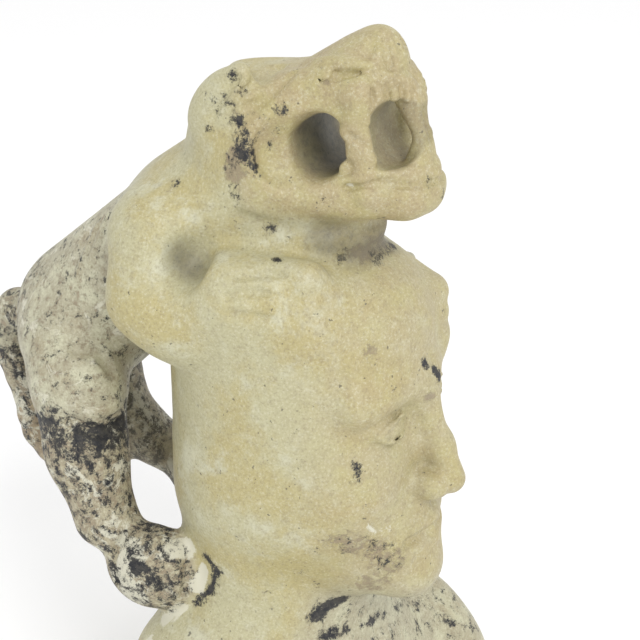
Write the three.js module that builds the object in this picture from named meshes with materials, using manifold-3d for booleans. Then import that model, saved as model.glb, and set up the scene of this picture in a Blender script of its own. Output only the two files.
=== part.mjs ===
// A carved stone bust: a warrior's head and shoulders with a big cat climbing over the head.
// Millimetres. X runs to the warrior's left, he faces -Y, and Z is up from the flat underside.
import * as THREE from 'three';
import { mergeVertices } from 'three/addons/utils/BufferGeometryUtils.js';
import Module from 'manifold-3d';

// Driving dimensions
const CHIN = 84;               // height of the chin
const HAIRLINE = 188;          // height of the top of the forehead
const HEAD_W = 70;             // width of the warrior's head
const HEAD_BACK = 40.5;        // the nape's distance behind the origin
const FACE_FRONT = -36;        // the plane of the forehead
const SHOULDER_X = 51;         // middle of each shoulder
const PELVIS = [0, 74, 153];   // middle of the cat's hips
const WITHERS = [0, 35, 187];  // middle of the cat's shoulders
const JAW_Z = 207;             // height of the cat's lower jaw
const MOUTH_Z = 220;           // height of the two holes bored through its mouth
const ARM_R = 9.5;             // radius of a foreleg
const TAIL_R = 6.8;            // radius of the tail

// The face is set out on the usual thirds of the height from hairline to chin.
const THIRD = (HAIRLINE - CHIN) / 3;
const BROW_Z = HAIRLINE - THIRD;
const NOSE_Z = CHIN + THIRD;
const MOUTH_LINE_Z = CHIN + THIRD * 2 / 3;
const EYE_Z = CHIN + (HAIRLINE - CHIN) * 4 / 7;
const EYE_W = HEAD_W / 5;

// Mesh settings
const CELL = 2.6;              // size of the sampling grid
const FACES = 9400;            // triangles kept

// Distance fields: negative inside the stone

function join(a, b, soft) {
  const h = Math.max(soft - Math.abs(a - b), 0) / soft;
  return Math.min(a, b) - h * h * soft / 4;
}

function cut(a, b, soft) {
  return -join(-a, b, soft);
}

// An ellipsoid, turned by tilt in the YZ plane
function egg(x, y, z, [cx, cy, cz], [rx, ry, rz], tilt = 0) {
  const c = Math.cos(tilt), s = Math.sin(tilt);
  const dx = x - cx, dy = (y - cy) * c + (z - cz) * s, dz = (z - cz) * c - (y - cy) * s;
  const near = Math.hypot(dx / rx, dy / ry, dz / rz);
  const steep = Math.hypot(dx / rx ** 2, dy / ry ** 2, dz / rz ** 2);
  return near < 1e-6 ? -Math.min(rx, ry, rz) : near * (near - 1) / steep;
}

// A round bar from one [x, y, z, radius] to the next
function bar(x, y, z, a, b) {
  const ux = b[0] - a[0], uy = b[1] - a[1], uz = b[2] - a[2];
  const dx = x - a[0], dy = y - a[1], dz = z - a[2];
  const along = (dx * ux + dy * uy + dz * uz) / (ux * ux + uy * uy + uz * uz);
  const t = Math.min(Math.max(along, 0), 1);
  return Math.hypot(dx - ux * t, dy - uy * t, dz - uz * t) - (a[3] + (b[3] - a[3]) * t);
}

// Bars through a row of joints
function limb(x, y, z, joints, soft) {
  let d = Infinity;
  for (let i = 1; i < joints.length; i++) {
    const one = bar(x, y, z, joints[i - 1], joints[i]);
    d = i === 1 ? one : join(d, one, soft);
  }
  return d;
}

// An upright post of oval section with rounded ends
function post(x, y, z, [cx, cy], [rx, ry], low, high, round) {
  const dx = x - cx, dy = y - cy;
  const near = Math.hypot(dx / rx, dy / ry);
  const steep = Math.hypot(dx / rx ** 2, dy / ry ** 2);
  const side = (near < 1e-6 ? -Math.min(rx, ry) : near * (near - 1) / steep) + round;
  const end = Math.abs(z - (low + high) / 2) - (high - low) / 2 + round;
  return Math.min(Math.max(side, end), 0) + Math.hypot(Math.max(side, 0), Math.max(end, 0)) - round;
}

// The warrior

function shoulders(x, y, z) {
  const s = Math.abs(x);
  let d = egg(x, y, z, [0, 1, 8], [58, 43, 56]);
  d = join(d, bar(s, y, z, [12, 6, 50, 24], [SHOULDER_X - 8, 2, 28, 25]), 14);
  d = join(d, egg(s, y, z, [SHOULDER_X + 2, -6, 2], [25, 38, 50]), 12);
  return join(d, slab(s, y, z, [10, 24, 41], [35, 20, 33], 18), 18);
}

// A box with rounded edges
function slab(x, y, z, centre, half, round) {
  const dx = Math.abs(x - centre[0]) - half[0] + round;
  const dy = Math.abs(y - centre[1]) - half[1] + round;
  const dz = Math.abs(z - centre[2]) - half[2] + round;
  const out = Math.hypot(Math.max(dx, 0), Math.max(dy, 0), Math.max(dz, 0));
  return Math.min(Math.max(dx, dy, dz), 0) + out - round;
}

function skull(x, y, z) {
  const s = Math.abs(x);
  const halfW = HEAD_W / 2;
  const deep = (HEAD_BACK - FACE_FRONT) / 2;
  let d = post(x, y, z, [0, HEAD_BACK - deep], [halfW, deep], CHIN + 6, HAIRLINE + 1, 25);
  d = join(d, post(x, y, z, [0, 9], [halfW - 3, 28.5], 30, CHIN + 50, 8), 6);
  d = join(d, egg(x, y, z, [0, -20, CHIN + 14], [20, 18, 15]), 9);
  return join(d, egg(s, y, z, [17, -19, NOSE_Z + 6], [12, 13, 16]), 9);
}

function face(d, x, y, z) {
  const s = Math.abs(x);
  const front = FACE_FRONT;
  d = join(d, bar(s, y, z, [4, front + 3, BROW_Z, 3.4], [EYE_W * 1.7, front + 9.5, BROW_Z - 1, 3.6]), 8);
  d = cut(d, egg(s, y, z, [EYE_W, front - 1, EYE_Z], [EYE_W * 0.62, 4.6, 5.6]), 5);
  d = join(d, egg(s, y, z, [EYE_W, front + 8, EYE_Z], [EYE_W * 0.58, 6.6, 4.4]), 2);
  const bridge = [0, front + 1.5, BROW_Z - 2, 3.2];
  const tip = [0, front - 8, NOSE_Z + 5, 4.4];
  d = join(d, limb(x, y, z, [bridge, [0, front - 4.6, NOSE_Z + 15, 3.4], tip], 4), 6);
  d = join(d, egg(s, y, z, [5.6, front - 3.6, NOSE_Z + 4.2], [3.8, 5.6, 4]), 3);
  d = join(d, egg(x, y, z, [0, front + 5, MOUTH_LINE_Z], [15, 8, 12]), 8);
  const corner = [10.5, front + 2.4, MOUTH_LINE_Z, 1.6];
  d = join(d, bar(s, y, z, [0, front - 2, MOUTH_LINE_Z + 2.8, 3.2], corner), 2);
  d = join(d, bar(s, y, z, [0, front - 1.4, MOUTH_LINE_Z - 3.2, 3.4], corner), 2);
  d = cut(d, bar(s, y, z, [0, front - 6.2, MOUTH_LINE_Z - 0.2, 1.7], [12, front - 0.5, MOUTH_LINE_Z, 1.5]), 2);
  return join(d, egg(x, y, z, [0, front + 3, CHIN + 7.5], [11, 8.5, 8]), 7);
}

// The big cat

function trunk(x, y, z) {
  let d = bar(x / 1.06, y, z, [...WITHERS, 20], [...PELVIS, 22]);
  d = join(d, bar(x, y, z, [0, 31, 193, 15], [0, 13, 211, 18]), 12);
  d = join(d, bar(Math.abs(x), y, z, [13, 33, 190, 16], [11, 14, 203, 14]), 8);
  return join(d, egg(x, y, z, [0, 5, 194], [20, 27, 12]), 8);
}

function foreleg(x, y, z, wrist, paw) {
  let d = limb(x, y, z, [
    [24, 34, 191, 13],
    [31, 32, 176, ARM_R + 1],
    [31, 25, 171.5, ARM_R + 0.5],
    [...wrist, ARM_R],
    [...paw, ARM_R - 1],
  ], 6);
  const reach = Math.hypot(paw[0] - wrist[0], paw[1] - wrist[1]);
  const ahead = [(paw[0] - wrist[0]) / reach, (paw[1] - wrist[1]) / reach];
  for (let i = -1; i <= 1; i++) {
    d = join(d, bar(x, y, z,
      [paw[0], paw[1], paw[2] + i * 5, 4.6],
      [paw[0] + ahead[0] * 10, paw[1] + ahead[1] * 10, paw[2] + i * 6, 4]), 1.6);
  }
  return d;
}

function hindleg(x, y, z, joints, toe) {
  return join(limb(x, y, z, joints, 10), egg(x, y, z, toe, [10.5, 14.5, 13]), 6);
}

const TAIL = new THREE.CatmullRomCurve3([
  [0, 91, 148], [1, 104, 146.5], [3, 107.5, 134], [6, 104, 116],
  [9, 103.5, 100], [15, 95, 88.5], [21, 85, 92], [24.5, 81, 102],
].map((p) => new THREE.Vector3(...p))).getPoints(16).map((p) => [p.x, p.y, p.z, TAIL_R]);

function catHead(x, y, z) {
  const s = Math.abs(x);
  let d = egg(x, y, z, [0, 13, 216.5], [23, 20, 16]);
  d = join(d, bar(x, y, z, [0, 8, 218.5, 12], [0, -15, 234.5, 10.5]), 8);
  d = join(d, egg(x, y, z, [0, -20, 237], [9, 8.2, 11]), 4);
  d = join(d, bar(s, y, z, [9, -2, 224, 11], [5, -22, 228, 8]), 5);
  d = join(d, muzzle(x, y, z), 3);
  d = join(d, egg(s, y, z, [16.5, 4, 215], [8.5, 13, 13]), 6);
  d = join(d, limb(s, y, z, [[16, 6, JAW_Z, 8], [5, -30, JAW_Z - 0.5, 6.5], [0, -32, JAW_Z - 0.5, 6.8]], 3), 3);
  d = join(d, egg(x, y, z, [0, -8, JAW_Z - 2], [17, 21, 6]), 5);
  d = cut(d, egg(s, y, z, [22, -7, MOUTH_Z - 1], [6, 11, 11]), 3);
  d = cut(d, bore(y, z, -10.2, MOUTH_Z - 0.5, 8, 9.2), 2);
  d = cut(d, bore(y, z, -28, MOUTH_Z + 2.5, 7, 8.8), 1.2);
  d = join(d, bar(s, y, z, [2, -27.8, MOUTH_Z + 13, 3.6], [1.5, -32.1, MOUTH_Z + 2, 1.7]), 1.5);
  d = join(d, bar(s, y, z, [2, -32.2, MOUTH_Z - 8, 3.8], [1.5, -32.7, MOUTH_Z + 1, 1.7]), 1.5);
  d = join(d, bar(s, y, z, [12.8, -20, MOUTH_Z + 12, 4.2], [13.2, -19.5, MOUTH_Z - 2, 2]), 1.5);
  d = join(d, bar(s, y, z, [12.4, -22.5, MOUTH_Z - 12, 4], [12.6, -21.8, MOUTH_Z + 3, 1.8]), 1.5);
  d = join(d, bar(s, y, z, [14, 2, 228, 6], [8, -15, 236.5, 5]), 4);
  return ears(d, x, y, z);
}

// The block between the jaws, oval in plan and leaning forward below
function muzzle(x, y, z) {
  const lean = y + 0.2 * (MOUTH_Z - 7.5 - z);
  return post(x, lean, z, [0, -8], [15, 28.2], MOUTH_Z - 14, MOUTH_Z + 15, 5);
}

// A hole bored from side to side, of oval section
function bore(y, z, cy, cz, ry, rz) {
  const near = Math.hypot((y - cy) / ry, (z - cz) / rz);
  const steep = Math.hypot((y - cy) / ry ** 2, (z - cz) / rz ** 2);
  return near < 1e-6 ? -Math.min(ry, rz) : near * (near - 1) / steep;
}

// Flat ears laid back along the skull, the far one lower, each with a groove before it
function ears(d, x, y, z) {
  const slope = -Math.PI / 4;
  for (const [side, rise] of [[-1, 0], [1, -9]]) {
    d = join(d, egg(x * side, y, z, [18.5, 14.5 - rise / 3, 227.5 + rise], [5, 13, 8.4], slope), 2.5);
    d = cut(d, bar(x * side, y, z, [26, 14, 219 + rise, 1.3], [22, -1, 233 + rise, 1.3]), 2);
  }
  return d;
}

const NEAR_LEG = [[17, 69, 150, 15], [24, 63, 141, 12], [27, 60, 121, 10], [29, 53, 101, 9.5]];
const FAR_LEG = [
  [18, 85, 143, 13.5], [24, 90, 124, 11], [25, 86, 111.5, 8], [26.5, 74, 97, 6.5], [29.5, 60, 87, 7.5],
];

function stone(x, y, z) {
  let man = join(shoulders(x, y, z), skull(x, y, z), 15);
  man = face(man, x, y, z);
  man = join(man, foreleg(-x, y, z, [29, 8, 180.5], [27.5, -2, 181.5]), 12);
  man = join(man, foreleg(x, y, z, [29.5, 2, 173], [22, -20.4, 165]), 8);
  let cat = trunk(x, y, z);
  cat = join(cat, hindleg(-x, y, z, NEAR_LEG, [30, 37, 89]), 8);
  cat = join(cat, hindleg(x, y, z, FAR_LEG, [30, 49, 82]), 8);
  cat = join(cat, limb(x, y, z, TAIL, 1), 4);
  cat = join(cat, catHead(x, y, z), 4);
  let d = join(man, cat, 6);
  d = cut(d, egg(Math.abs(x), y, z, [36, 18, 190.5], [10, 5.8, 8]), 3);
  return Math.max(d, -z - 6);
}

// Meshing

// Cuts each grid cube into six tetrahedra and meshes the zero surface in them, which always closes.
function polygonise(field, low, high, cell) {
  const n = low.map((v, i) => Math.ceil((high[i] - v) / cell) + 1);
  const at = (i, j, k) => i + n[0] * (j + n[1] * k);
  const value = new Float64Array(n[0] * n[1] * n[2]);
  const coarse = new Map();
  const block = 5;
  const reach = block * cell * 1.4;
  for (let k = 0; k < n[2]; k++) {
    for (let j = 0; j < n[1]; j++) {
      for (let i = 0; i < n[0]; i++) {
        const centre = [i, j, k].map((v, m) => low[m] + (v - v % block + block / 2) * cell);
        const key = at(...[i, j, k].map((v) => v - v % block));
        if (!coarse.has(key)) {
          coarse.set(key, field(...centre));
        }
        const far = coarse.get(key);
        const v = Math.abs(far) > reach ? far : field(low[0] + i * cell, low[1] + j * cell, low[2] + k * cell);
        value[at(i, j, k)] = Math.abs(v) < 1e-4 ? 1e-4 : v;
      }
    }
  }
  const points = [], triangles = [], seen = new Map();
  const place = (a) => [a % n[0], Math.floor(a / n[0]) % n[1], Math.floor(a / (n[0] * n[1]))];
  const crossing = (a, b) => {
    const key = a < b ? a * 4194304 + b - a : b * 4194304 + a - b;
    if (!seen.has(key)) {
      const t = value[a] / (value[a] - value[b]);
      const p = place(a), q = place(b);
      seen.set(key, points.length);
      points.push(p.map((v, i) => low[i] + (v + (q[i] - v) * t) * cell));
    }
    return seen.get(key);
  };
  const corners = [0, 1, n[0] + 1, n[0]].flatMap((v) => [v, v + n[0] * n[1]]);
  const [c000, c001, c100, c101, c110, c111, c010, c011] = corners;
  const tetrahedra = [
    [c000, c100, c110, c111], [c000, c110, c010, c111], [c000, c010, c011, c111],
    [c000, c011, c001, c111], [c000, c001, c101, c111], [c000, c101, c100, c111],
  ];
  for (let k = 0; k < n[2] - 1; k++) {
    for (let j = 0; j < n[1] - 1; j++) {
      for (let i = 0; i < n[0] - 1; i++) {
        const base = at(i, j, k);
        for (const tetrahedron of tetrahedra) {
          const t = tetrahedron.map((v) => v + base);
          const inside = t.filter((v) => value[v] < 0), outside = t.filter((v) => value[v] >= 0);
          if (inside.length === 0 || outside.length === 0) {
            continue;
          }
          const odd = [...inside, ...outside];
          const flip = permutationIsOdd(t, odd);
          let ring;
          if (inside.length === 1) {
            ring = outside.map((v) => crossing(inside[0], v));
          } else if (inside.length === 3) {
            ring = inside.map((v) => crossing(v, outside[0]));
          } else {
            ring = [[0, 0], [0, 1], [1, 1], [1, 0]].map(([a, b]) => crossing(inside[a], outside[b]));
          }
          for (let m = 2; m < ring.length; m++) {
            triangles.push(flip ? [ring[0], ring[m], ring[m - 1]] : [ring[0], ring[m - 1], ring[m]]);
          }
        }
      }
    }
  }
  return { points, triangles };
}

function permutationIsOdd(from, to) {
  const order = to.map((v) => from.indexOf(v));
  let odd = false;
  for (let i = 0; i < order.length; i++) {
    for (let j = i + 1; j < order.length; j++) {
      odd = odd !== order[i] > order[j];
    }
  }
  return odd;
}

// Moves each point along the field's slope onto the zero surface.
function settle(field, points) {
  const h = 0.2;
  for (const p of points) {
    const d = field(...p);
    const g = [0, 1, 2].map((i) => {
      const q = [...p];
      q[i] += h;
      return (field(...q) - d) / h;
    });
    const k = d / Math.max(g[0] ** 2 + g[1] ** 2 + g[2] ** 2, 0.25);
    const step = Math.min(1, CELL / 3 / Math.max(Math.abs(k) * Math.hypot(...g), 1e-9));
    for (let i = 0; i < 3; i++) {
      p[i] -= g[i] * k * step;
    }
  }
}

function cross(a, b, c) {
  const u = [b[0] - a[0], b[1] - a[1], b[2] - a[2]], v = [c[0] - a[0], c[1] - a[1], c[2] - a[2]];
  return [u[1] * v[2] - u[2] * v[1], u[2] * v[0] - u[0] * v[2], u[0] * v[1] - u[1] * v[0]];
}

// Collapses the flattest edges until the wanted number of triangles is left.
function simplify(points, triangles, wanted) {
  const quadrics = points.map(() => new Float64Array(10));
  const around = points.map(() => new Set());
  triangles.forEach((t, i) => {
    const n = cross(...t.map((v) => points[v]));
    const area = Math.hypot(...n) || 1e-12;
    const [a, b, c] = n.map((v) => v / area);
    const d = -(a * points[t[0]][0] + b * points[t[0]][1] + c * points[t[0]][2]);
    const plane = [a * a, a * b, a * c, a * d, b * b, b * c, b * d, c * c, c * d, d * d];
    for (const v of t) {
      plane.forEach((q, k) => {
        quadrics[v][k] += q * area;
      });
      around[v].add(i);
    }
  });
  const cost = (q, r, [x, y, z]) => {
    const s = q.map((v, i) => v + r[i]);
    return s[0] * x * x + s[4] * y * y + s[7] * z * z + s[9]
      + 2 * (s[1] * x * y + s[2] * x * z + s[3] * x + s[5] * y * z + s[6] * y + s[8] * z);
  };
  const beside = (v) => new Set([...around[v]].flatMap((i) => triangles[i]));
  const turns = (v, other, p) => [...around[v]].some((i) => {
    const t = triangles[i];
    if (t.includes(other)) {
      return false;
    }
    const old = cross(...t.map((w) => points[w]));
    const now = cross(...t.map((w) => (w === v ? p : points[w])));
    const size = Math.hypot(...now);
    return size < 0.02 || old[0] * now[0] + old[1] * now[1] + old[2] * now[2] < 0.5 * size * Math.hypot(...old);
  });
  let left = triangles.length;
  for (let limit = 0.002; left > wanted; limit *= 1.4) {
    for (let i = 0; i < triangles.length && left > wanted; i++) {
      for (let e = 0; e < 3 && triangles[i]; e++) {
        const a = triangles[i][e], b = triangles[i][(e + 1) % 3];
        const middle = points[a].map((v, k) => (v + points[b][k]) / 2);
        const choices = [middle, points[a], points[b]].map((p) => [cost(quadrics[a], quadrics[b], p), p]);
        const [error, p] = choices.reduce((m, c) => (c[0] < m[0] ? c : m));
        if (error > limit || turns(a, b, p) || turns(b, a, p)) {
          continue;
        }
        const near = beside(b);
        const shared = [...beside(a)].filter((v) => near.has(v) && v !== a && v !== b);
        if (shared.length !== 2) {
          continue;
        }
        for (const k of [...around[b]]) {
          if (triangles[k].includes(a)) {
            triangles[k].forEach((v) => around[v].delete(k));
            triangles[k] = null;
            left -= 1;
          } else {
            triangles[k] = triangles[k].map((v) => (v === b ? a : v));
            around[a].add(k);
          }
        }
        around[b].clear();
        points[a] = [...p];
        quadrics[b].forEach((v, k) => {
          quadrics[a][k] += v;
        });
      }
    }
  }
  const kept = triangles.filter(Boolean);
  const used = new Map();
  const renumbered = kept.map((t) => t.map((v) => {
    if (!used.has(v)) {
      used.set(v, used.size);
    }
    return used.get(v);
  }));
  return { points: [...used.keys()].map((v) => points[v]), triangles: renumbered };
}

// Joining and cutting

const wasm = await Module();
wasm.setup();

function solid(points, triangles) {
  return new wasm.Manifold(new wasm.Mesh({
    numProp: 3,
    vertProperties: new Float32Array(points.flat()),
    triVerts: new Uint32Array(triangles.flat()),
  }));
}

function boxSolid(sizeX, sizeY, sizeZ, centre) {
  const box = new THREE.BoxGeometry(sizeX, sizeY, sizeZ);
  box.translate(...centre);
  box.deleteAttribute('normal');
  box.deleteAttribute('uv');
  const merged = mergeVertices(box);
  return new wasm.Manifold(new wasm.Mesh({
    numProp: 3,
    vertProperties: new Float32Array(merged.attributes.position.array),
    triVerts: new Uint32Array(merged.index.array),
  }));
}

function geometryOf(manifold) {
  const mesh = manifold.getMesh();
  const geometry = new THREE.BufferGeometry();
  geometry.setAttribute('position', new THREE.Float32BufferAttribute(mesh.vertProperties, 3));
  geometry.setIndex([...mesh.triVerts]);
  geometry.computeVertexNormals();
  return geometry;
}

function carvedStone() {
  const { points, triangles } = polygonise(stone, [-84, -62, -10], [84, 126, 256], CELL);
  settle(stone, points);
  const coarse = simplify(points, triangles, FACES);
  settle(stone, coarse.points);
  const floor = boxSolid(400, 400, 40, [0, 0, -20]);
  const mesh = new THREE.Mesh(
    geometryOf(solid(coarse.points, coarse.triangles).subtract(floor)),
    new THREE.MeshStandardMaterial({ color: 0xc6bd8e, roughness: 0.45, metalness: 0 }),
  );
  mesh.name = 'warrior_with_feline';
  return mesh;
}

const group = new THREE.Group();
group.name = 'aztec_warrior_sculpture';
group.add(carvedStone());

export default group;
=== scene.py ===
"""A carved stone bust of a warrior with a big cat climbing over his head: the looks."""
import math

import bpy
import numpy as np
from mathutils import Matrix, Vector


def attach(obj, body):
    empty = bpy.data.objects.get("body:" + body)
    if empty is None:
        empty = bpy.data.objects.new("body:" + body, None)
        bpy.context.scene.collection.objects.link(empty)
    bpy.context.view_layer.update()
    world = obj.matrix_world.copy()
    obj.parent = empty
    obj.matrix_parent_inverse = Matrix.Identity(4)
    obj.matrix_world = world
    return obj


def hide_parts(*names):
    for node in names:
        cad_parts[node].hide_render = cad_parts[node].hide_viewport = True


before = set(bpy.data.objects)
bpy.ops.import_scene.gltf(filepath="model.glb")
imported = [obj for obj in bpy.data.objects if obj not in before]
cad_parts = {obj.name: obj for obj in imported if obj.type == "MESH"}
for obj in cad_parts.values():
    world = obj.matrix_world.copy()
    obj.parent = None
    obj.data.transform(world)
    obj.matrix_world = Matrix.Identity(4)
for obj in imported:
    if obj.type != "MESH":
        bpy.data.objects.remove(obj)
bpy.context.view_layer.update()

# Driving dimensions, in millimetres as in the CAD part
CHIN = 84
HAIRLINE = 188
HEAD_W = 70
HEAD_BACK = 40.5
FACE_FRONT = -36
SHOULDER_X = 51
PELVIS = (0, 74, 153)
WITHERS = (0, 35, 187)
JAW_Z = 207
MOUTH_Z = 220
ARM_R = 9.5
TAIL_R = 6.8
THIRD = (HAIRLINE - CHIN) / 3
BROW_Z = HAIRLINE - THIRD
NOSE_Z = CHIN + THIRD
MOUTH_LINE_Z = CHIN + THIRD * 2 / 3
EYE_Z = CHIN + (HAIRLINE - CHIN) * 4 / 7
EYE_W = HEAD_W / 5

# The photograph's view
AZIMUTH = -64
ELEVATION = 23.5
DISTANCE = 0.385
TARGET = Vector((0, -0.0035, 0.164))
LENS = 77.34

# Mesh settings
CELL = 0.8
FACES = 190000
BITE = 2
MM = 0.001


# Distance fields: negative inside the stone

def join(a, b, soft):
    h = np.maximum(soft - np.abs(a - b), 0) / soft
    return np.minimum(a, b) - h * h * soft / 4


def cut(a, b, soft):
    return -join(-a, b, soft)


def hypot(*parts):
    return np.sqrt(sum(p * p for p in parts))


def egg(x, y, z, centre, radii, tilt=0):
    c, s = math.cos(tilt), math.sin(tilt)
    dx, ey, ez = x - centre[0], y - centre[1], z - centre[2]
    dy, dz = ey * c + ez * s, ez * c - ey * s
    rx, ry, rz = radii
    near = hypot(dx / rx, dy / ry, dz / rz)
    steep = hypot(dx / rx ** 2, dy / ry ** 2, dz / rz ** 2)
    return np.where(near < 1e-4, -min(radii), near * (near - 1) / np.maximum(steep, 1e-6))


def bar(x, y, z, a, b):
    ux, uy, uz = b[0] - a[0], b[1] - a[1], b[2] - a[2]
    dx, dy, dz = x - a[0], y - a[1], z - a[2]
    t = np.clip((dx * ux + dy * uy + dz * uz) / (ux * ux + uy * uy + uz * uz), 0, 1)
    return hypot(dx - ux * t, dy - uy * t, dz - uz * t) - (a[3] + (b[3] - a[3]) * t)


def limb(x, y, z, joints, soft):
    d = bar(x, y, z, joints[0], joints[1])
    for a, b in zip(joints[1:], joints[2:]):
        d = join(d, bar(x, y, z, a, b), soft)
    return d


def oval(u, v, centre, radii):
    near = hypot((u - centre[0]) / radii[0], (v - centre[1]) / radii[1])
    steep = hypot((u - centre[0]) / radii[0] ** 2, (v - centre[1]) / radii[1] ** 2)
    return np.where(near < 1e-4, -min(radii), near * (near - 1) / np.maximum(steep, 1e-6))


def post(x, y, z, centre, radii, low, high, rounding):
    side = oval(x, y, centre, radii) + rounding
    end = np.abs(z - (low + high) / 2) - (high - low) / 2 + rounding
    out = hypot(np.maximum(side, 0), np.maximum(end, 0))
    return np.minimum(np.maximum(side, end), 0) + out - rounding


def slab(x, y, z, centre, half, rounding):
    dx = np.abs(x - centre[0]) - half[0] + rounding
    dy = np.abs(y - centre[1]) - half[1] + rounding
    dz = np.abs(z - centre[2]) - half[2] + rounding
    out = hypot(np.maximum(dx, 0), np.maximum(dy, 0), np.maximum(dz, 0))
    return np.minimum(np.maximum(np.maximum(dx, dy), dz), 0) + out - rounding


def shoulders(x, y, z):
    s = np.abs(x)
    d = egg(x, y, z, (0, 1, 8), (58, 43, 56))
    d = join(d, bar(s, y, z, (12, 6, 50, 24), (SHOULDER_X - 8, 2, 28, 25)), 14)
    d = join(d, egg(s, y, z, (SHOULDER_X + 2, -6, 2), (25, 38, 50)), 12)
    return join(d, slab(s, y, z, (10, 24, 41), (35, 20, 33), 18), 18)


def skull(x, y, z):
    s = np.abs(x)
    half = HEAD_W / 2
    deep = (HEAD_BACK - FACE_FRONT) / 2
    d = post(x, y, z, (0, HEAD_BACK - deep), (half, deep), CHIN + 6, HAIRLINE + 1, 25)
    d = join(d, post(x, y, z, (0, 9), (half - 3, 28.5), 30, CHIN + 50, 8), 6)
    d = join(d, egg(x, y, z, (0, -20, CHIN + 14), (20, 18, 15)), 9)
    return join(d, egg(s, y, z, (17, -19, NOSE_Z + 6), (12, 13, 16)), 9)


def face(d, x, y, z):
    s = np.abs(x)
    front = FACE_FRONT
    brow = (EYE_W * 1.7, front + 9.5, BROW_Z - 1, 3.6)
    d = join(d, bar(s, y, z, (4, front + 3, BROW_Z, 3.4), brow), 8)
    d = cut(d, egg(s, y, z, (EYE_W, front - 1, EYE_Z), (EYE_W * 0.62, 4.6, 5.6)), 5)
    d = join(d, egg(s, y, z, (EYE_W, front + 8, EYE_Z), (EYE_W * 0.58, 6.6, 4.4)), 2)
    bridge = (0, front + 1.5, BROW_Z - 2, 3.2)
    tip = (0, front - 8, NOSE_Z + 5, 4.4)
    d = join(d, limb(x, y, z, (bridge, (0, front - 4.6, NOSE_Z + 15, 3.4), tip), 4), 6)
    d = join(d, egg(s, y, z, (5.6, front - 3.6, NOSE_Z + 4.2), (3.8, 5.6, 4)), 3)
    d = join(d, egg(x, y, z, (0, front + 5, MOUTH_LINE_Z), (15, 8, 12)), 8)
    corner = (10.5, front + 2.4, MOUTH_LINE_Z, 1.6)
    d = join(d, bar(s, y, z, (0, front - 2, MOUTH_LINE_Z + 2.8, 3.2), corner), 2)
    d = join(d, bar(s, y, z, (0, front - 1.4, MOUTH_LINE_Z - 3.2, 3.4), corner), 2)
    parting = (12, front - 0.5, MOUTH_LINE_Z, 1.5)
    d = cut(d, bar(s, y, z, (0, front - 6.2, MOUTH_LINE_Z - 0.2, 1.7), parting), 2)
    return join(d, egg(x, y, z, (0, front + 3, CHIN + 7.5), (11, 8.5, 8)), 7)


def trunk(x, y, z):
    d = bar(x / 1.06, y, z, (*WITHERS, 20), (*PELVIS, 22))
    d = join(d, bar(x, y, z, (0, 31, 193, 15), (0, 13, 211, 18)), 12)
    d = join(d, bar(np.abs(x), y, z, (13, 33, 190, 16), (11, 14, 203, 14)), 8)
    return join(d, egg(x, y, z, (0, 5, 194), (20, 27, 12)), 8)


def foreleg(x, y, z, wrist, paw):
    joints = (
        (24, 34, 191, 13),
        (31, 32, 176, ARM_R + 1),
        (31, 25, 171.5, ARM_R + 0.5),
        (*wrist, ARM_R),
        (*paw, ARM_R - 1),
    )
    d = limb(x, y, z, joints, 6)
    reach = math.hypot(paw[0] - wrist[0], paw[1] - wrist[1])
    ahead = ((paw[0] - wrist[0]) / reach, (paw[1] - wrist[1]) / reach)
    for i in (-1, 0, 1):
        root = (paw[0], paw[1], paw[2] + i * 5, 4.6)
        tip = (paw[0] + ahead[0] * 10, paw[1] + ahead[1] * 10, paw[2] + i * 6, 4)
        d = join(d, bar(x, y, z, root, tip), 1.6)
    return d


def hindleg(x, y, z, joints, toe):
    return join(limb(x, y, z, joints, 10), egg(x, y, z, toe, (10.5, 14.5, 13)), 6)


def catmull_rom(points, count):
    """Even steps in parameter along a centripetal curve through the points."""
    points = [np.array(p, float) for p in points]
    before = 2 * points[0] - points[1]
    after = 2 * points[-1] - points[-2]
    rows = [before, *points, after]
    made = []
    for step in range(count + 1):
        u = step / count * (len(points) - 1)
        i = min(int(u), len(points) - 2)
        p0, p1, p2, p3 = rows[i:i + 4]
        t0 = max(np.linalg.norm(p1 - p0), 1e-6) ** 0.5
        t1 = max(np.linalg.norm(p2 - p1), 1e-6) ** 0.5
        t2 = max(np.linalg.norm(p3 - p2), 1e-6) ** 0.5
        m1 = ((p1 - p0) / t0 - (p2 - p0) / (t0 + t1) + (p2 - p1) / t1) * t1
        m2 = ((p2 - p1) / t1 - (p3 - p1) / (t1 + t2) + (p3 - p2) / t2) * t1
        t = u - i
        made.append(
            p1 * (2 * t ** 3 - 3 * t ** 2 + 1) + m1 * (t ** 3 - 2 * t ** 2 + t)
            + p2 * (3 * t ** 2 - 2 * t ** 3) + m2 * (t ** 3 - t ** 2)
        )
    return made


TAIL = [(*p, TAIL_R) for p in catmull_rom((
    (0, 91, 148), (1, 104, 146.5), (3, 107.5, 134), (6, 104, 116),
    (9, 103.5, 100), (15, 95, 88.5), (21, 85, 92), (24.5, 81, 102),
), 16)]
NEAR_LEG = ((17, 69, 150, 15), (24, 63, 141, 12), (27, 60, 121, 10), (29, 53, 101, 9.5))
FAR_LEG = ((18, 85, 143, 13.5), (24, 90, 124, 11), (25, 86, 111.5, 8), (26.5, 74, 97, 6.5), (29.5, 60, 87, 7.5))


def muzzle(x, y, z):
    lean = y + 0.2 * (MOUTH_Z - 7.5 - z)
    return post(x, lean, z, (0, -8), (15, 28.2), MOUTH_Z - 14, MOUTH_Z + 15, 5)


def ears(d, x, y, z):
    slope = -math.pi / 4
    for side, rise in ((-1, 0), (1, -9)):
        centre = (18.5, 14.5 - rise / 3, 227.5 + rise)
        d = join(d, egg(x * side, y, z, centre, (5, 13, 8.4), slope), 2.5)
        d = cut(d, bar(x * side, y, z, (26, 14, 219 + rise, 1.3), (22, -1, 233 + rise, 1.3)), 2)
    return d


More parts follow.
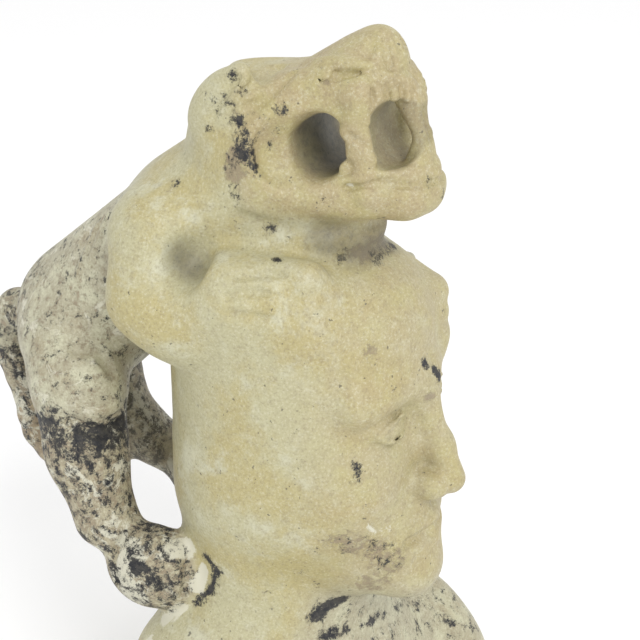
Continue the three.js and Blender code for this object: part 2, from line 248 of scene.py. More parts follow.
def cat_head(x, y, z):
    s = np.abs(x)
    d = egg(x, y, z, (0, 13, 216.5), (23, 20, 16))
    d = join(d, bar(x, y, z, (0, 8, 218.5, 12), (0, -15, 234.5, 10.5)), 8)
    d = join(d, egg(x, y, z, (0, -20, 237), (9, 8.2, 11)), 4)
    d = join(d, bar(s, y, z, (9, -2, 224, 11), (5, -22, 228, 8)), 5)
    d = join(d, muzzle(x, y, z), 3)
    d = join(d, egg(s, y, z, (16.5, 4, 215), (8.5, 13, 13)), 6)
    jaw = ((16, 6, JAW_Z, 8), (5, -30, JAW_Z - 0.5, 6.5), (0, -32, JAW_Z - 0.5, 6.8))
    d = join(d, limb(s, y, z, jaw, 3), 3)
    d = join(d, egg(x, y, z, (0, -8, JAW_Z - 2), (17, 21, 6)), 5)
    d = cut(d, egg(s, y, z, (22, -7, MOUTH_Z - 1), (6, 11, 11)), 3)
    d = cut(d, oval(y, z, (-10.2, MOUTH_Z - 0.5), (8, 9.2)), 2)
    d = cut(d, oval(y, z, (-28, MOUTH_Z + 2.5), (7, 8.8)), 1.2)
    d = join(d, bar(s, y, z, (2, -27.8, MOUTH_Z + 13, 3.6), (1.5, -32.1, MOUTH_Z + 2, 1.7)), 1.5)
    d = join(d, bar(s, y, z, (2, -32.2, MOUTH_Z - 8, 3.8), (1.5, -32.7, MOUTH_Z + 1, 1.7)), 1.5)
    d = join(d, bar(s, y, z, (12.8, -20, MOUTH_Z + 12, 4.2), (13.2, -19.5, MOUTH_Z - 2, 2)), 1.5)
    d = join(d, bar(s, y, z, (12.4, -22.5, MOUTH_Z - 12, 4), (12.6, -21.8, MOUTH_Z + 3, 1.8)), 1.5)
    d = join(d, bar(s, y, z, (14, 2, 228, 6), (8, -15, 236.5, 5)), 4)
    return ears(d, x, y, z)


def warrior(x, y, z):
    d = join(shoulders(x, y, z), skull(x, y, z), 15)
    return face(d, x, y, z)


def big_cat(x, y, z):
    d = trunk(x, y, z)
    d = join(d, hindleg(-x, y, z, NEAR_LEG, (30, 37, 89)), 8)
    d = join(d, hindleg(x, y, z, FAR_LEG, (30, 49, 82)), 8)
    d = join(d, limb(x, y, z, TAIL, 1), 4)
    return join(d, cat_head(x, y, z), 4)


def stone(x, y, z):
    man = warrior(x, y, z)
    man = join(man, foreleg(-x, y, z, (29, 8, 180.5), (27.5, -2, 181.5)), 12)
    man = join(man, foreleg(x, y, z, (29.5, 2, 173), (22, -20.4, 165)), 8)
    d = join(man, big_cat(x, y, z), 6)
    d = cut(d, egg(np.abs(x), y, z, (36, 18, 190.5), (10, 5.8, 8)), 3)
    return np.maximum(d, -z)


# Meshing

def sampled(field, low, high, cell):
    """The field on a grid, worked out in full only in the blocks that the surface may cross."""
    block = 4
    count = [math.ceil((b - a) / cell / block) for a, b in zip(low, high)]
    middles = [a + (np.arange(n) + 0.5) * block * cell for a, n in zip(low, count)]
    far = field(*np.meshgrid(*middles, indexing="ij")).astype(np.float32)
    value = far.repeat(block, 0).repeat(block, 1).repeat(block, 2)
    near = np.argwhere(np.abs(far) < block * cell * 1.4)
    for part in np.array_split(near, max(1, len(near) // 4000)):
        index = part[:, :, None] * block + np.arange(block)
        i = index[:, 0, :, None, None]
        j = index[:, 1, None, :, None]
        k = index[:, 2, None, None, :]
        place = np.broadcast_arrays(*(a + n * cell for a, n in zip(low, (i, j, k))))
        value[i, j, k] = field(*(p.astype(np.float32) for p in place))
    return value


def net(value, low, cell):
    """One point in each grid cell that the surface crosses, and a four-sided face across each grid edge."""
    inside = value < 0
    size = np.array(value.shape) - 1
    count = np.zeros(size, np.uint8)
    for corner in np.ndindex(2, 2, 2):
        count += inside[tuple(slice(c, c + n) for c, n in zip(corner, size))]
    cells = np.argwhere((count > 0) & (count < 8))
    number = np.full(size, -1, np.int32)
    number[tuple(cells.T)] = np.arange(len(cells))
    total = np.zeros((len(cells), 3))
    hits = np.zeros(len(cells))
    quads = []
    for axis in range(3):
        u, v = (axis + 1) % 3, (axis + 2) % 3
        along, right, up = np.eye(3, dtype=int)[[axis, u, v]]
        for a, b in np.ndindex(2, 2):
            start = right * a + up * b
            first = value[tuple((cells + start).T)]
            second = value[tuple((cells + start + along).T)]
            crossed = (first < 0) != (second < 0)
            t = first / np.where(crossed, first - second, 1)
            total += (start + along * t[:, None]) * crossed[:, None]
            hits += crossed
        lower = [slice(1, n) for n in size]
        lower[axis] = slice(0, size[axis])
        upper = list(lower)
        upper[axis] = slice(1, size[axis] + 1)
        edges = np.argwhere(inside[tuple(lower)] != inside[tuple(upper)]) + 1 - along
        ring = [number[tuple((edges - step).T)] for step in (right + up, up, 0 * up, right)]
        ring = np.stack(ring, 1)
        outward = inside[tuple(edges.T)][:, None]
        quads.append(np.where(outward, ring, ring[:, ::-1]))
    points = np.array(low) + (cells + total / hits[:, None]) * cell
    return points, np.concatenate(quads)


def slope_of(field, points):
    h = 0.1
    x, y, z = points.T
    d = field(x, y, z)
    ahead = (field(x + h, y, z), field(x, y + h, z), field(x, y, z + h))
    return d, np.stack([(a - d) / h for a in ahead], 1)


def settle(field, points, rounds):
    """Moves each point along the field's slope onto the surface."""
    for _ in range(rounds):
        d, slope = slope_of(field, points)
        move = -slope * (d / np.maximum((slope ** 2).sum(1), 0.25))[:, None]
        length = np.maximum(hypot(*move.T), 1e-9)
        points = points + move * np.minimum(1, CELL * 0.6 / length)[:, None]
    return points


# Fine carving, with the lines of the near side at negative X

def gap_to(x, y, z, points):
    """How far each place is from the line through the points."""
    gap = hypot(x - points[0][0], y - points[0][1], z - points[0][2])
    for a, b in zip(points, points[1:]):
        gap = np.minimum(gap, bar(x, y, z, (*a, 0), (*b, 0)))
    return gap


def stroke(d, x, y, z, width, depth, *points):
    """Cuts a soft groove along a line. A depth below 0 raises a ridge."""
    low = np.min(points, 0) - width
    high = np.max(points, 0) + width
    near = (x > low[0]) & (x < high[0]) & (y > low[1]) & (y < high[1]) & (z > low[2]) & (z < high[2])
    t = np.clip(1 - gap_to(x[near], y[near], z[near], points) / width, 0, 1)
    d[near] += BITE * depth * t * t * (3 - 2 * t)
    return d


def ear_lines(d, x, y, z):
    for side, rise in ((-1, 0), (1, -9)):
        place = (x * side, y + rise / 3, z - rise)
        d = stroke(d, *place, 2, 0.9, (21.5, 9, 236), (22.5, 10, 234), (23.2, 11.5, 231.5), (23.4, 15.5, 225.5))
        d = stroke(d, *place, 1.8, -0.6, (20.6, 6.4, 236), (22.2, 8.5, 233.6), (23.4, 13, 227))
        d = stroke(d, *place, 1.8, 0.8, (19.5, 4.5, 235), (22.2, 7.6, 232.5), (23, 9.3, 230), (23.3, 12.4, 226))
    return d


def brow_lines(d, s, y, z):
    d = stroke(d, s, y, z, 2, 0.8, (14.3, -2.4, 236.4), (17.5, -0.6, 234), (20.2, 2.5, 230.5), (21.8, 6.3, 229))
    d = stroke(d, s, y, z, 3, -0.7, (6.9, -3.4, 237.8), (10.6, -10, 240), (11.8, -15, 240.2), (9, -22.5, 239))
    d = stroke(d, s, y, z, 2.8, 0.9, (13.6, -15, 237), (12.8, -17.3, 237.4), (9.8, -22, 237.6))
    d = stroke(d, s, y, z, 2.8, -0.45, (13.8, -12, 237.4))
    ring = [2 * math.pi * i / 10 for i in range(11)]
    ring = [(13.8 + 1.6 * math.sin(a), -12 + 2.3 * math.cos(a), 237.4 - 1.5 * math.sin(a)) for a in ring]
    return stroke(d, s, y, z, 0.9, 0.45, *ring)


def nose_lines(d, s, y, z):
    d = stroke(d, s, y, z, 1.8, 1.1, (4.6, -23.7, 245), (5.5, -24.6, 243), (6, -26, 239))
    d = stroke(d, s, y, z, 1.8, 0.6, (6, -21, 245), (7.6, -21, 243), (8.8, -20.7, 241.4))
    d = stroke(d, s, y, z, 1.4, 0.5, (1.6, -25.3, 245), (1.9, -26.6, 243))
    d = stroke(d, s, y, z, 1.9, -0.9, (13.7, -21.1, 236), (10.9, -21.2, 237), (7.6, -25.7, 237), (3, -29.5, 235.5))
    for x, lean, low in ((13.2, -24, 232), (9.5, -26.6, 232.4), (6.5, -29.3, 231.8), (4.2, -31.4, 230.8)):
        d = stroke(d, s, y, z, 1.3, 1, (x, lean - 0.3, low), (x - 0.5, lean + 0.2, low + 2.4))
    for x, lean, low in ((11.2, -25, 232.6), (8.2, -28, 232.2), (5, -30.4, 231.6)):
        d = stroke(d, s, y, z, 1.7, -0.6, (x, lean, low), (x - 0.3, lean + 0.4, low + 2))
    return d


def mouth_lines(d, s, y, z):
    d = stroke(d, s, y, z, 1.5, 0.7, (15.8, -19.5, 223), (15.2, -21.3, 221.8), (14, -23.6, 220))
    d = stroke(d, s, y, z, 2, -0.7, (15.8, -16.3, 211), (14.2, -25, 213.5), (7.7, -33, 213.4), (0, -37, 212))
    d = stroke(d, s, y, z, 1.6, 0.7, (15.7, -18.5, 209.6), (14.5, -25, 210.9), (7.8, -35.3, 210), (0, -38, 209.6))
    for place in ((13.4, -24.8, 226.2), (13.2, -25, 217), (14.4, -17, 223.4), (14.2, -16.8, 214.5)):
        d = stroke(d, s, y, z, 2.6, -0.55, place)
    return stroke(d, s, y, z, 3, 0.35, (23.5, 8, 201), (18.8, -4, 196.4), (13, -14, 196.6), (0, -21.8, 195))


def paw_lines(d, x, y, z):
    d = stroke(d, x, y, z, 2.2, 0.6, (-34.6, 2.6, 188), (-31, -4, 188.8), (-29.3, -8, 188.4))
    d = stroke(d, x, y, z, 2.3, 0.65, (-38, 4, 184.4), (-35, -2.6, 185.2), (-32.2, -7, 184))
    d = stroke(d, x, y, z, 2, 0.5, (-39.4, 3, 179.8), (-37, -2, 179.4), (-34.6, -7, 178.6))
    for step in range(5):
        turn = step / 4
        d = stroke(d, x, y, z, 2.4, -1.1, (27.5 - 9 * turn, -19 - 6 * turn, 176 - 17 * turn))
        d = stroke(d, x, y, z, 1.4, 0.9, (26.5 - 9 * turn, -21 - 5 * turn, 174 - 17 * turn))
    return d


def leg_lines(d, x, y, z):
    d = stroke(d, x, y, z, 3, 1.2, (-37, 56, 135), (-34.8, 53, 132.4), (-31.3, 50.1, 130.8), (-25, 48.8, 131.2))
    d = stroke(d, x, y, z, 4, -0.9, (-35.6, 56, 140.5), (-32, 51, 138), (-27, 49, 138))
    d = stroke(d, x, y, z, 3, 0.8, (-30, 59, 154.6), (-25.9, 54.1, 153.2), (-25.4, 50.1, 147.5))
    for start, middle, end in (
        ((26, 44, 197), (27, 46, 190), (22.5, 53, 172)),
        ((13, 56.7, 190), (17, 57, 185), (20.5, 59, 177)),
        ((14, 60, 186.7), (17.8, 61, 181), (20.6, 63, 174)),
    ):
        d = stroke(d, np.abs(x), y, z, 1.9, -0.45, start, middle, end)
    d = stroke(d, x, y, z, 2.2, 0.8, (-36.6, 27, 95.4), (-38.4, 27.6, 91), (-38.4, 28.4, 86))
    d = stroke(d, x, y, z, 2, 0.7, (-30.4, 24.4, 98), (-33, 23.4, 91), (-33.4, 24.6, 85))
    return stroke(d, x, y, z, 2.4, 0.9, (-34, 43, 100), (-37.9, 45.6, 93), (-38.6, 43.6, 87))


def face_lines(d, s, y, z):
    for way in (-1, 1):
        lid = [i / 4 for i in range(-4, 5)]
        rim = [(EYE_W + 7.2 * t, FACE_FRONT + 1.5 + 3.4 * t * t, EYE_Z + way * 3.6 * (1 - t * t)) for t in lid]
        slit = [(EYE_W + 6.4 * t, FACE_FRONT + 1.1 + 3.4 * t * t, EYE_Z + way * 2.3 * (1 - t * t)) for t in lid]
        d = stroke(d, s, y, z, 1.5, -0.7, *rim)
        d = stroke(d, s, y, z, 0.9, 0.5, *slit)
    d = stroke(d, s, y, z, 1.8, 1.5, (3.5, FACE_FRONT - 5, NOSE_Z + 0.4))
    return stroke(d, s, y, z, 2, 0.5, (0, FACE_FRONT - 3.5, NOSE_Z - 3), (0, FACE_FRONT - 4.5, MOUTH_LINE_Z + 6))


def carved(x, y, z):
    s = np.abs(x)
    d = stone(x, y, z)
    d = join(d, slab(s, y, z, (8, -15.5, 233.4), (7.8, 8.5, 4.6), 4), 3)
    d = stroke(d, x, y, z, 3.4, 0.9, (-19.5, 5, 235.5), (-14, 6, 236.5), (-5, 6.5, 236))
    d = stroke(d, x, y, z, 4, -0.6, (-20.5, 9, 237.5), (-15, 11, 238))
    d = ear_lines(d, x, y, z)
    d = brow_lines(d, s, y, z)
    d = nose_lines(d, s, y, z)
    d = mouth_lines(d, s, y, z)
    d = paw_lines(d, x, y, z)
    d = leg_lines(d, x, y, z)
    d = face_lines(d, s, y, z)
    hand = 0.13 * np.sin(x / 4.3 + np.sin(z / 7)) * np.sin(y / 5.1 + 1) * np.sin(z / 4.7)
    return np.maximum(d + hand, -z)


# Stains, veins and painted shade: how much of each lies at every point, with the near side at negative X

def spread(points, soft, marks):
    """1 well inside a mark's radius, half at it and 0 outside. Each mark is a radius, a strength and its line."""
    most = np.zeros(len(points))
    for radius, strength, *line in marks:
        share = np.clip(0.5 + (radius - gap_to(*points.T, line)) / (2 * soft), 0, 1)
        most = np.maximum(most, share * strength)
    return most


def ramp(value, low, high):
    t = np.clip((value - low) / (high - low), 0, 1)
    return t * t * (3 - 2 * t)


BLACK = (
    (2.2, 0.72, (-19.8, -2.9, 228.2)), (1.3, 0.7, (-18.6, -0.5, 223)), (1.7, 0.65, (-23.2, 16.4, 222.6)),
    (3.2, 0.56, (-22.5, 8.6, 226), (-24.6, 7.5, 220.2), (-24.5, 3.4, 214.9)),
    (1.3, 0.8, (-24.5, 3.8, 215.6), (-24.2, 2.6, 213)), (1.2, 0.8, (-24.9, 9, 209), (-24.6, 7.6, 204.3)),
    (6, 0.33, (-30, -24, 113), (-24, -30, 109), (-17, -34, 103)), (5, 0.36, (-23, 12, 228), (-22, 4, 226), (-24, 10, 214)),
    (1.3, 0.8, (-18.4, 2, 219)), (1.6, 0.8, (-20.4, 1, 196.9)), (1, 1, (-21.3, 10.3, 236.5)),
    (1.5, 0.5, (-22.8, 16.9, 231.1)), (0.9, 1, (-22.1, 7.4, 232.7)), (1, 0.7, (-23.4, 12.5, 229.9)),
    (1.3, 0.7, (-22.9, 27.8, 206.6)), (1.5, 0.9, (-27.4, -4.6, 191.6)), (0.9, 0.8, (-19.2, -3.6, 194.7)),
    (2.6, 0.6, (-11.5, -16.4, 189.5)), (2.4, 0.6, (-3.9, -21.7, 186.9), (10, -20.6, 185.8)),
    (1.4, 0.85, (-4, -37.2, 210.3)), (1.4, 0.9, (0, -38.8, 205.8)), (1, 0.8, (-18.3, -13.8, 206.3)),
    (0.9, 0.7, (-16, -22.3, 206.1)), (0.8, 0.9, (-25.7, -26.4, 137.6), (-26.6, -27.1, 132.2)),
    (1.2, 0.6, (-16.6, -33.6, 156.1)), (1.3, 1, (-3.4, -36.7, 159)), (1.5, 0.9, (-0.5, -38, 155.8), (1.2, -38.8, 153.4)),
    (1, 0.75, (-30, -16.9, 109.6)), (1.5, 0.55, (-27.1, -11.4, 99.1)), (1.4, 0.6, (-23, -13.5, 93.5)),
    (0.6, 1, (-32.3, -12.5, 144.7)), (0.6, 1, (-32.1, -13.5, 136.4)), (1.2, 0.55, (-29.8, -1.3, 91)),
    (3.6, 0.68, (-39.5, 36.5, 94.5), (-39.5, 32.3, 92.7), (-38.7, 29.5, 89)),
    (3, 0.62, (-32, 44, 101), (-26, 36, 101)), (3, 0.5, (-40, 44, 84), (-37, 50, 94)),
    (1.4, 0.9, (-30.7, 17.3, 96.9), (-31.5, 13.9, 95), (-30.9, 16.6, 86.6), (-31.9, 22, 81.4)),
    (1.6, 0.7, (-29.6, 23, 92), (-31.5, 26, 84), (-32.5, 29.5, 77)),
    (3.2, 0.8, (-21, -12.6, 81), (-15.4, -17.4, 84.2)), (3, 0.66, (-19, -15, 74), (-13.4, -18.2, 72.6)),
    (2.4, 0.6, (-6, -20, 70), (8, -22, 66)), (2.4, 0.66, (12, -22, 84), (22, -17, 78)),
    (2.2, 0.6, (20.3, -20.1, 60.6), (41.8, -20.2, 49)), (2, 0.6, (31.5, -22.7, 48.5), (57, -34.8, 33.6)),
    (2, 0.6, (-2, -22, 84), (14, -22, 80)),
)
# Dark umber marks: the wide one under the cat's jaw and the one at the pocket's rim are painted shade, and the others
# are stain marks in the stone
BROWN_STAIN_AND_SHADE = (
    (3.4, 0.7, (-24.8, 8, 217), (-25.1, 8.9, 212)), (3, 0.62, (-14.5, -12, 234)), (2.6, 0.7, (-4, -38.7, 149.7)),
    (2.6, 0.66, (-20.8, -28, 168.3)), (1.2, 0.7, (-28.7, -25.5, 127.6)), (2, 0.5, (-12, -32, 170)),
    (6, 0.5, (-30, -24, 113), (-24, -30, 109), (-17, -34, 103), (-17, -27, 94)), (4, 0.6, (-8, -19, 190), (4, -21, 190)),
    (2.4, 0.5, (-35, 20, 186)), (1.6, 0.6, (-36, 30, 181)),
)
CREAM = (
    (2.4, 1, (-30.2, 18.7, 92.8), (-31.4, 21, 87)), (2.2, 1, (-33, 26.1, 79.8), (-33.2, 31.5, 73.2)),
    (1.6, 0.9, (-37.6, 34.2, 68.1), (-38, 38, 58)), (6, 0.66, (-38, 40, 97), (-38.5, 38, 84)), (3, 0.62, (-30, 52, 100)),
    (4, 0.8, (-33, 30, 97.5), (-29, 26, 97)), (1.6, 0.5, (-15.7, -19.6, 209.8)),
    (2.4, 0.34, (-27, -27, 118), (-18, -33, 113)), (1.4, 0.6, (-15.6, -9, 232.6)),
)


FAR_PAW = ((8, 0.9, (30, -16, 174), (25, -22, 168), (19, -26, 159)),)
# Painted shade at the pocket and in the creases under the cat's jaw
SHADY = (
    (4.2, 0.85, (-30.5, 21.5, 189), (-28.5, 19.5, 185)), (5.5, 0.8, (-14, -12, 195), (-8, -18, 191), (8, -19, 190)),
    (2.5, 0.3, (-23, 7, 199.5), (-16, -9, 197)),
)


def shadows(points, marble):
    """Painted shade, dark and grainy, in the bores, the hollows and on the far legs."""
    x, y, z = points.T
    back = ramp(0.9 - oval(y, z, (-10.2, MOUTH_Z - 0.5), (8, 9.2)), 0, 0.8) * ramp(15.5 - np.abs(x), 0, 6)
    front = ramp(0.9 - oval(y, z, (-28, MOUTH_Z + 2.5), (7, 8.8)), 0, 0.8) * ramp(13 - np.abs(x), 0, 5)
    # Painted shade: the far side of the lower body made darker
    far = marble * ramp(x, 2, 14) * ramp(150 - z, 0, 15)
    return np.maximum(np.maximum(0.9 * back, 0.4 * front), np.maximum(0.6 * far, spread(points, 2.5, SHADY)))


def stains_and_shade(points):
    x, y, z = points.T
    behind = np.minimum(warrior(x, y, z), np.minimum(cat_head(x, y, z), foreleg(-x, y, z, (29, 8, 180.5), (27.5, -2, 181.5))))
    body = np.minimum(trunk(x, y, z), limb(x, y, z, TAIL, 1))
    body = np.minimum(body, np.minimum(hindleg(-x, y, z, NEAR_LEG, (30, 37, 89)), hindleg(x, y, z, FAR_LEG, (30, 49, 82))))
    marble = ramp(behind - body, -3, 3) * np.maximum(ramp(y, 36, 50), ramp(140 - z, 0, 20))
    low = ramp(138 - z, 0, 7)
    tail = ramp(behind - limb(x, y, z, TAIL, 1), 4, 8) * ramp(y, 80, 90)
    root = tail * ramp(z, 118, 134)
    band = np.exp(-((z - 130 - 0.1 * (y - 50)) / 6) ** 2) * (1 - tail)
    chest = ramp(-y, 4, 16) * ramp(96 - z, 0, 12)
    ink = marble * (0.31 + 0.13 * low + 0.2 * band + 0.16 * root - 0.04 * tail) + 0.33 * chest
    head = ramp(np.minimum(warrior(x, y, z), trunk(x, y, z)) - cat_head(x, y, z), -2, 4)
    return {
        "ink": np.maximum(ink, spread(points, 2.4, BLACK)),
        "brown_and_shade": np.maximum(marble * (0.36 + 0.1 * low + 0.08 * tail), spread(points, 2.4, BROWN_STAIN_AND_SHADE)),
        "cream": np.maximum(marble * (0.3 + 0.1 * low), spread(points, 1.8, CREAM)),
        "marble": np.maximum(np.maximum(marble, 0.8 * chest), spread(points, 2, FAR_PAW)),
        "shade": shadows(points, marble),
        "warm": np.maximum(head * ramp(14 - y, 0, 12) * 0.9, ramp(-y, 4, 30) * 0.6),
        "rust": np.maximum(tail * ramp(122 - z, 0, 12) * 0.8, marble * low * 0.25),
    }


def mesh_object(name, points, faces):
    mesh = bpy.data.meshes.new(name)
    mesh.vertices.add(len(points))
    mesh.vertices.foreach_set("co", (points * MM).ravel())
    mesh.loops.add(faces.size)
    mesh.loops.foreach_set("vertex_index", faces.ravel())
    mesh.polygons.add(len(faces))
    mesh.polygons.foreach_set("loop_start", np.arange(len(faces)) * faces.shape[1])
    mesh.update(calc_edges=True)
    mesh.validate()
    made = bpy.data.objects.new(name, mesh)
    bpy.context.scene.collection.objects.link(made)
    return made


def thinned(made, faces):
    """The mesh with its flattest edges collapsed until it has the wanted number of triangles."""
    thin = made.modifiers.new("thin", "DECIMATE")
    thin.ratio = min(1, faces / (len(made.data.polygons) * 2))
    graph = bpy.context.evaluated_depsgraph_get()
    mesh = bpy.data.meshes.new_from_object(made.evaluated_get(graph))
    made.modifiers.clear()
    made.data = mesh
    return made


def points_of(mesh):
    co = np.zeros(len(mesh.vertices) * 3)
    mesh.vertices.foreach_get("co", co)
    return co.reshape(-1, 3) / MM


def carve():
    value = sampled(carved, (-84, -62, -3), (84, 126, 256), CELL)
    points, faces = net(value, (-84, -62, -3), CELL)
    points = settle(carved, points, 3)
    made = thinned(mesh_object("carved_stone", points, faces), FACES)
    made.data.shade_smooth()
    for name, share in stains_and_shade(points_of(made.data)).items():
        layer = made.data.attributes.new(name, "FLOAT", "POINT")
        layer.data.foreach_set("value", share.astype(np.float32))
    return made


# Materials

class Tree:
    """Makes and links the nodes of one material."""

    def __init__(self, material):
        material.use_nodes = True
        self.tree = material.node_tree
        self.shader = self.tree.nodes["Principled BSDF"]
        self.place = self.node("ShaderNodeTexCoord").outputs["Object"]

    def node(self, kind, inputs=(), **settings):
        made = self.tree.nodes.new(kind)
        for name, value in settings.items():
            setattr(made, name, value)
        for key, value in dict(inputs).items():
            self.put(made.inputs[key], value)
        return made

    def put(self, socket, value):
        if isinstance(value, bpy.types.NodeSocket):
            self.tree.links.new(value, socket)
        else:
            socket.default_value = value

    def noise(self, size, detail=4, rough=0.55, warp=0, shift=0):
        """Noise with features of this size in millimetres."""
        place = self.place
        if shift:
            place = self.node("ShaderNodeVectorMath", {0: place, 1: (shift, shift, shift)}).outputs[0]
        inputs = {"Vector": place, "Scale": 1 / (size * MM), "Detail": detail, "Roughness": rough, "Distortion": warp}
        return self.node("ShaderNodeTexNoise", inputs).outputs["Fac"]

    def attribute(self, name):
        return self.node("ShaderNodeAttribute", attribute_name=name).outputs["Fac"]

    def math(self, operation, a, b=0.0):
        return self.node("ShaderNodeMath", {0: a, 1: b}, operation=operation).outputs[0]

    def ease(self, value, low, high):
        """0 below low, 1 above high and smooth between."""
        inputs = {"Value": value, "From Min": low, "From Max": high}
        return self.node("ShaderNodeMapRange", inputs, interpolation_type="SMOOTHSTEP").outputs["Result"]

    def mix(self, share, a, b):
        made = self.node("ShaderNodeMix", data_type="RGBA")
        for index, value in ((0, share), (6, a), (7, b)):
            self.put(made.inputs[index], value)
        return made.outputs[2]


def colour(red, green, blue):
    return (red, green, blue, 1)


YELLOW = colour(0.45, 0.425, 0.26)
OCHRE = colour(0.425, 0.37, 0.175)
PALE = colour(0.52, 0.51, 0.365)
TAN = colour(0.385, 0.31, 0.165)
GREY = colour(0.4, 0.375, 0.265)
UMBER = colour(0.21, 0.165, 0.11)
ROSE = colour(0.3, 0.235, 0.155)
CHALK = colour(0.64, 0.62, 0.47)
RUST = colour(0.4, 0.29, 0.155)
IVORY = colour(0.6, 0.58, 0.46)
BLUE_BLACK = colour(0.006, 0.007, 0.012)
# Near black for the black marks and for the painted shade, and dark olive for the painted shade only
SOOT_AND_SHADE = colour(0.05, 0.047, 0.04)
SHADE_OLIVE = colour(0.145, 0.125, 0.07)


def grown(t, share, noise, gain):
    """Where a stain shows: its share, made ragged by the noise."""
    ragged = t.math("MULTIPLY_ADD", noise, gain)
    ragged.node.inputs[2].default_value = -gain / 2
    return t.ease(t.math("ADD", ragged, share), 0.42, 0.58)


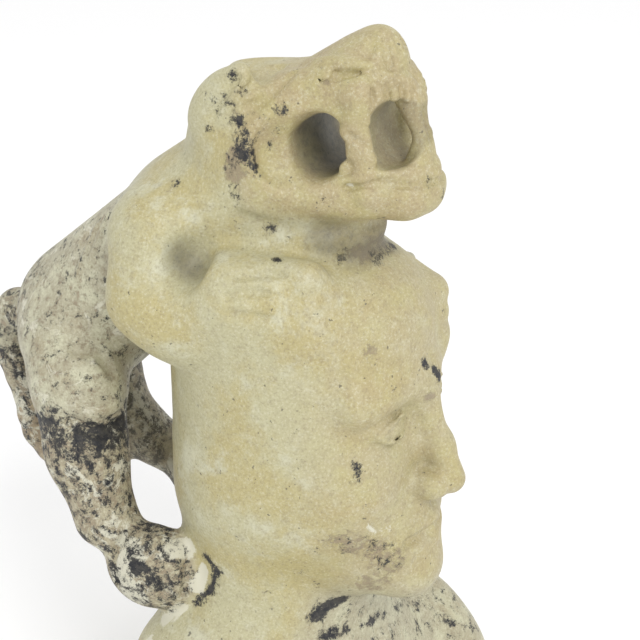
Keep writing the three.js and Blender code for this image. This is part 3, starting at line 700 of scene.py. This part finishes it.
def stone_material():
    material = bpy.data.materials.new("carved_stone")
    t = Tree(material)
    marble = t.attribute("marble")
    coarse = t.noise(8, 9, 0.68, 0.15)
    fine = t.noise(2.2, 9, 0.78, 0.1, shift=0.3)
    grain = t.noise(0.7, 4, 0.7, shift=0.7)
    base = t.mix(t.ease(t.noise(30, 6, 0.65), 0.44, 0.6), YELLOW, OCHRE)
    base = t.mix(t.ease(t.noise(13, 8, 0.68, 0.2, shift=0.1), 0.5, 0.7), base, PALE)
    base = t.mix(t.attribute("warm"), base, t.mix(t.ease(coarse, 0.4, 0.65), TAN, OCHRE))
    base = t.mix(marble, base, t.mix(t.ease(coarse, 0.42, 0.62), GREY, PALE))
    base = t.mix(t.attribute("rust"), base, RUST)
    base = t.mix(t.math("MULTIPLY", t.ease(fine, 0.46, 0.8), 0.5), base, UMBER)
    patches = t.ease(t.noise(7, 10, 0.72, 0.5, shift=2.9), 0.5, 0.66)
    base = t.mix(t.math("MULTIPLY", t.math("MULTIPLY", patches, marble), 0.55), base, t.mix(coarse, UMBER, TAN))
    curd = t.noise(4.2, 10, 0.8, 0.15, shift=3.7)
    base = t.mix(t.math("MULTIPLY", t.ease(curd, 0.52, 0.72), 0.4), base, CHALK)
    base = t.mix(t.math("MULTIPLY", t.ease(curd, 0.47, 0.28), 0.4), base, UMBER)
    thread = t.math("ABSOLUTE", t.math("SUBTRACT", t.noise(16, 8, 0.66, 0.2, shift=0.5), 0.5))
    base = t.mix(t.math("MULTIPLY", t.ease(thread, 0.006, 0), 0.5), base, PALE)
    base = t.mix(t.math("MULTIPLY", t.ease(grain, 0.52, 0.68), 0.4), base, CHALK)
    base = t.mix(t.math("MULTIPLY", t.ease(grain, 0.48, 0.32), 0.42), base, UMBER)
    # Dark umber mottling from the stain marks, with painted shade where those marks sit under the cat's jaw and at
    # the pocket
    brown_and_shade = grown(t, t.attribute("brown_and_shade"), t.noise(3, 12, 0.82, 0.3, shift=0.9), 2.2)
    base = t.mix(t.math("MULTIPLY", brown_and_shade, 0.75), base, t.mix(t.ease(fine, 0.4, 0.6), UMBER, ROSE))
    cream = grown(t, t.attribute("cream"), t.noise(9, 10, 0.7, 0.8, shift=1.3), 2.2)
    base = t.mix(cream, base, IVORY)
    ink = grown(t, t.attribute("ink"), t.noise(3.6, 12, 0.85, 0.2, shift=1.7), 2.6)
    speck = t.math("MULTIPLY", t.ease(t.noise(1.8, 2, 0.5, shift=2.3), 0.71, 0.75), 0.6)
    ink = t.math("MAXIMUM", ink, speck)
    base = t.mix(ink, base, t.mix(t.ease(fine, 0.4, 0.62), BLUE_BLACK, SOOT_AND_SHADE))
    # Painted shade: dark olive and near black laid over the bores, hollows, creases and far legs
    base = t.mix(t.math("MULTIPLY", t.attribute("shade"), 0.8), base, t.mix(t.ease(fine, 0.35, 0.7), SHADE_OLIVE, SOOT_AND_SHADE))
    t.put(t.shader.inputs["Base Color"], base)
    rough = t.math("ADD", t.math("MULTIPLY", fine, 0.22), t.math("MULTIPLY", ink, 0.1))
    t.put(t.shader.inputs["Roughness"], t.math("ADD", rough, 0.4))
    height = t.math("SUBTRACT", t.math("MULTIPLY", fine, 0.5), t.math("MULTIPLY", ink, 0.35))
    height = t.math("SUBTRACT", height, t.math("MULTIPLY", brown_and_shade, 0.3))
    height = t.math("ADD", height, t.math("MULTIPLY", grain, 0.2))
    inputs = {"Strength": 0.5, "Distance": 0.0004, "Height": height}
    t.put(t.shader.inputs["Normal"], t.node("ShaderNodeBump", inputs).outputs["Normal"])
    return material


def floor_material():
    material = bpy.data.materials.new("pale_floor")
    t = Tree(material)
    t.put(t.shader.inputs["Base Color"], colour(0.97, 0.97, 0.97))
    t.put(t.shader.inputs["Roughness"], 0.9)
    return material


# Stage

def camera():
    a, e = math.radians(AZIMUTH), math.radians(ELEVATION)
    back = Vector((math.sin(a) * math.cos(e), -math.cos(a) * math.cos(e), math.sin(e)))
    data = bpy.data.cameras.new("camera")
    data.lens = LENS
    data.clip_start = 0.01
    made = bpy.data.objects.new("camera", data)
    made.location = TARGET + back * DISTANCE
    made.rotation_mode = "QUATERNION"
    made.rotation_quaternion = (-back).to_track_quat("-Z", "Y")
    bpy.context.scene.collection.objects.link(made)
    bpy.context.scene.camera = made


def softbox(name, place, aim, size, power):
    data = bpy.data.lights.new(name, "AREA")
    data.shape = "DISK"
    data.size = size
    data.energy = power
    made = bpy.data.objects.new(name, data)
    made.location = place
    made.rotation_mode = "QUATERNION"
    made.rotation_quaternion = (Vector(aim) - Vector(place)).to_track_quat("-Z", "Y")
    bpy.context.scene.collection.objects.link(made)


def studio():
    half = 6
    corners = np.array(((-half, -half, 0), (half, -half, 0), (half, half, 0), (-half, half, 0))) / MM
    floor = mesh_object("floor", corners, np.array(((0, 1, 2, 3),)))
    floor.location.z = -0.0002
    floor.data.materials.append(floor_material())
    world = bpy.data.worlds.new("studio")
    world.use_nodes = True
    background = world.node_tree.nodes["Background"]
    background.inputs["Color"].default_value = colour(1, 1, 1)
    background.inputs["Strength"].default_value = 0.98
    bpy.context.scene.world = world
    softbox("key", (-0.72, -0.78, 1.1), (0, 0, 0.14), 0.5, 8)
    bpy.context.scene.view_settings.view_transform = "Standard"


camera()
studio()
bust = carve()
bust.data.materials.append(stone_material())
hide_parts("warrior_with_feline")
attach(bust, "root")
